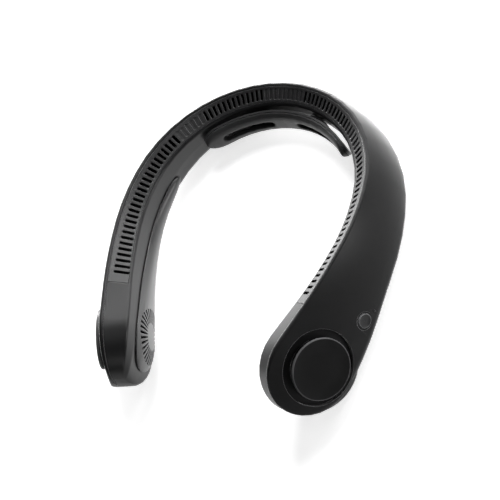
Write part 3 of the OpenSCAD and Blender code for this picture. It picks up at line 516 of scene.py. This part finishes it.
# power button: a dished disc on a flange and a stem, with a small dot in its middle
button = {
    "radius": 4.7 * mm,
    "rise": 0.5 * mm,
    "flange": (5.7 * mm, -3.1 * mm, -2.4 * mm),       # radius, underside, top
    "stem": (1.6 * mm, -4.3 * mm),            # radius, foot
    "rim": 0.5 * mm,
    "dish": 0.42 * mm,
    "dishShares": ((0.55, 0.85), (0.85, 0.6), (1.0, 0.3)),      # of its depth, and of the radius in the rim
    "dot": (0.45 * mm, 0.12 * mm),            # radius and depth
    "dotShares": (0.8, 0.3),                  # rings of its floor, as shares of its radius
    "round": 0.22 * mm,
    "steps": 3,
    "corner": 60,
    "smooth": 38,
    "sides": 96,
    # edge is the colour of the rim's painted highlight, and rim the radii over which it fades in
    "finish": {"dark": (0.016, 0.016, 0.017), "light": (0.021, 0.021, 0.022), "rough": 0.34,
               "edge": (0.16, 0.16, 0.165), "rim": (4.15 * mm, 4.5 * mm), "specular": 0.3,
               "cloud": 1.5 * mm, "pitch": 0.11 * mm, "ringing": 1.0, "depth": 0.012 * mm},
}
flangeWide, flangeLow, flangeHigh = button["flange"]
stemWide, stemLow = button["stem"]
dotWide, dotDeep = button["dot"]
buttonTop = button["rise"]
buttonInside = button["radius"] - button["rim"]
dishFloor = buttonTop - button["dish"]
buttonRows = [(stemLow, stemWide), (flangeLow, stemWide), (flangeLow, flangeWide), (flangeHigh, flangeWide),
              (flangeHigh, button["radius"]), (buttonTop, button["radius"]), (buttonTop, buttonInside)]
buttonRows += [(buttonTop - deep * button["dish"], wide * buttonInside)
               for deep, wide in button["dishShares"]]
buttonRows += [(dishFloor, dotWide)]
buttonRows += [(dishFloor - dotDeep, wide * dotWide) for wide in button["dotShares"]]
powerButton = turnedPiece("powerButton", button["sides"], buttonRows)
roundEdges(powerButton, button["round"], button["steps"], button["corner"])

# the middle of its seat, on the case's skin, comes from the CAD button
outward = -Vector(joints["power_button_press"]["axis"]).normalized()
points = [vertex.co for vertex in frame["nodes"]["power_button"].data.vertices]
sideways = outward.orthogonal().normalized()
seat = outward * (max(point.dot(outward) for point in points) - button["rise"])
for axis in (sideways, outward.cross(sideways)):
    reach = [point.dot(axis) for point in points]
    seat += axis * (max(reach) + min(reach)) / 2
standOn(powerButton, seat, outward)
materials["buttonSatin"] = ringed("buttonSatin", tuple(seat), tuple(outward), button["finish"])
settle(powerButton, "button", "buttonSatin", "power_button", button["smooth"])
print("button modelled")

# neck pad: soft moulded rubber with rounded edges and two long slots
pad = {
    "voxel": 0.55 * mm,
    "soften": 0.5,
    "rounds": 9,                              # times that it is softened
    "smooth": 60,
    "fill": 0.9,
}
neckPad = weldedCopy("neck_pad", "neckPad")
modify(neckPad, "REMESH", mode="VOXEL", voxel_size=pad["voxel"], adaptivity=0.0)
modify(neckPad, "SMOOTH", factor=pad["soften"], iterations=pad["rounds"])
settle(neckPad, "case", "padRubber", "neck_pad", pad["smooth"])
print("pad modelled")

# CAD nodes that keep their own shape, by finish
keptNodes = {
    "screwSteel": ["case_screws", "pad_screws"],
    "groundSteel": ["left_rotor_cup", "right_rotor_cup", "left_shaft", "right_shaft"],
    "magnetGrey": ["left_rotor_magnet", "right_rotor_magnet"],
    "bearingBronze": ["left_bearings", "right_bearings"],
    "copperWire": ["left_stator", "right_stator"],
    "innerPlastic": ["left_fan_housing", "right_fan_housing", "left_motor_base", "right_motor_base",
                     "left_air_guide", "right_air_guide"],
    "fanPlastic": ["left_impeller", "right_impeller"],
    "greenBoard": ["left_motor_board", "right_motor_board", "main_board", "port_board"],
    "cellWrap": ["left_battery", "right_battery"],
    "holderPlastic": ["left_battery_holder", "right_battery_holder", "switch_plunger"],
    "switchPlastic": ["tact_switch"],
    "clearPipe": ["light_pipe"],
    "portPlate": ["charging_port"],
    "leadRubber": ["wiring_lead"],
    "plateMatt": ["pad_brackets"],
}
for finish, nodes in keptNodes.items():
    for node in nodes:
        frame["nodes"][node].data.materials.clear()
        frame["nodes"][node].data.materials.append(materials[finish])
print("CAD nodes finished")

# stage: a pale table that fades into a white world, and soft lamps
stage = {
    "floorSize": 6.0,
    "floorColour": (0.80, 0.80, 0.80),
    "floorRough": 0.9,
    "floorSpecular": 0.2,
    "floorGlow": 0.70,                        # seen by the camera only
    "mirrorGlow": 0.22,                       # the same floor in reflections
    "poolGlow": 1.20,                         # more of it in the middle of the table
    "poolReach": (0.07, 0.16),                # metres from the middle, where it starts to fade and ends
    "world": 0.02,
    "backdrop": 1.0,                          # the world as the camera sees it
    "lights": [                               # place, size and watts, all turned to the middle of the table
        ("backdrop", (-0.743, 1.061, 0.113), (1.0, 0.18), 47.0),
        ("backStrip", (0.443, 1.217, 0.113), (1.0, 0.18), 6.0),
        ("lowLeft", (-1.160, 0.541, 0.226), (0.4, 0.4), 4.6),
        ("back", (0.0, 1.126, 0.650), (0.4, 0.4), 3.1),
        ("backRight", (0.563, 0.975, 0.650), (0.4, 0.4), 5.0),
        ("highBack", (0.0, 0.746, 1.065), (0.4, 0.4), 9.2),
        ("right", (1.213, 0.325, 0.336), (0.4, 0.4), 5.0),
        ("front", (0.611, -1.058, 0.445), (0.4, 0.4), 1.2),
        ("top", (0.336, 0.0, 1.256), (0.4, 0.4), 0.9),
    ],
}
bpy.ops.object.select_all(action="DESELECT")
bpy.ops.mesh.primitive_plane_add(size=stage["floorSize"], location=(0, 0, 0))
floor = bpy.context.object
floor.name = "floor"
table = Finish(bpy.data.materials.new("floorFinish"), Base_Color=(*stage["floorColour"], 1),
               Roughness=stage["floorRough"], Specular_IOR_Level=stage["floorSpecular"],
               Emission_Strength=1.0)
seen = table.node("ShaderNodeLightPath", output="Is Camera Ray") * stage["floorGlow"]
away = table.vector("LENGTH", table.places(), output="Value")
pool = (1 - table.ramp(away, *stage["poolReach"])) * stage["poolGlow"]
mirrored = table.node("ShaderNodeLightPath", output="Is Glossy Ray") * (pool + stage["mirrorGlow"])
table.set("Emission Color", seen + mirrored)
floor.data.materials.append(table.owner)

scene.world = bpy.data.worlds.new("studio")
sky = Finish(scene.world, "Background")
toCamera = sky.node("ShaderNodeLightPath", output="Is Camera Ray")
sky.set("Color", toCamera * (stage["backdrop"] - stage["world"]) + stage["world"])
for name, place, size, watts in stage["lights"]:
    bpy.ops.object.light_add(type="AREA", location=place)
    light = bpy.context.object
    light.name = name
    light.data.shape = "RECTANGLE"
    light.data.size, light.data.size_y = size
    light.data.energy = watts
    light.rotation_euler = (-Vector(place)).to_track_quat("-Z", "Y").to_euler()
scene.view_settings.view_transform = "Standard"
print("stage set")
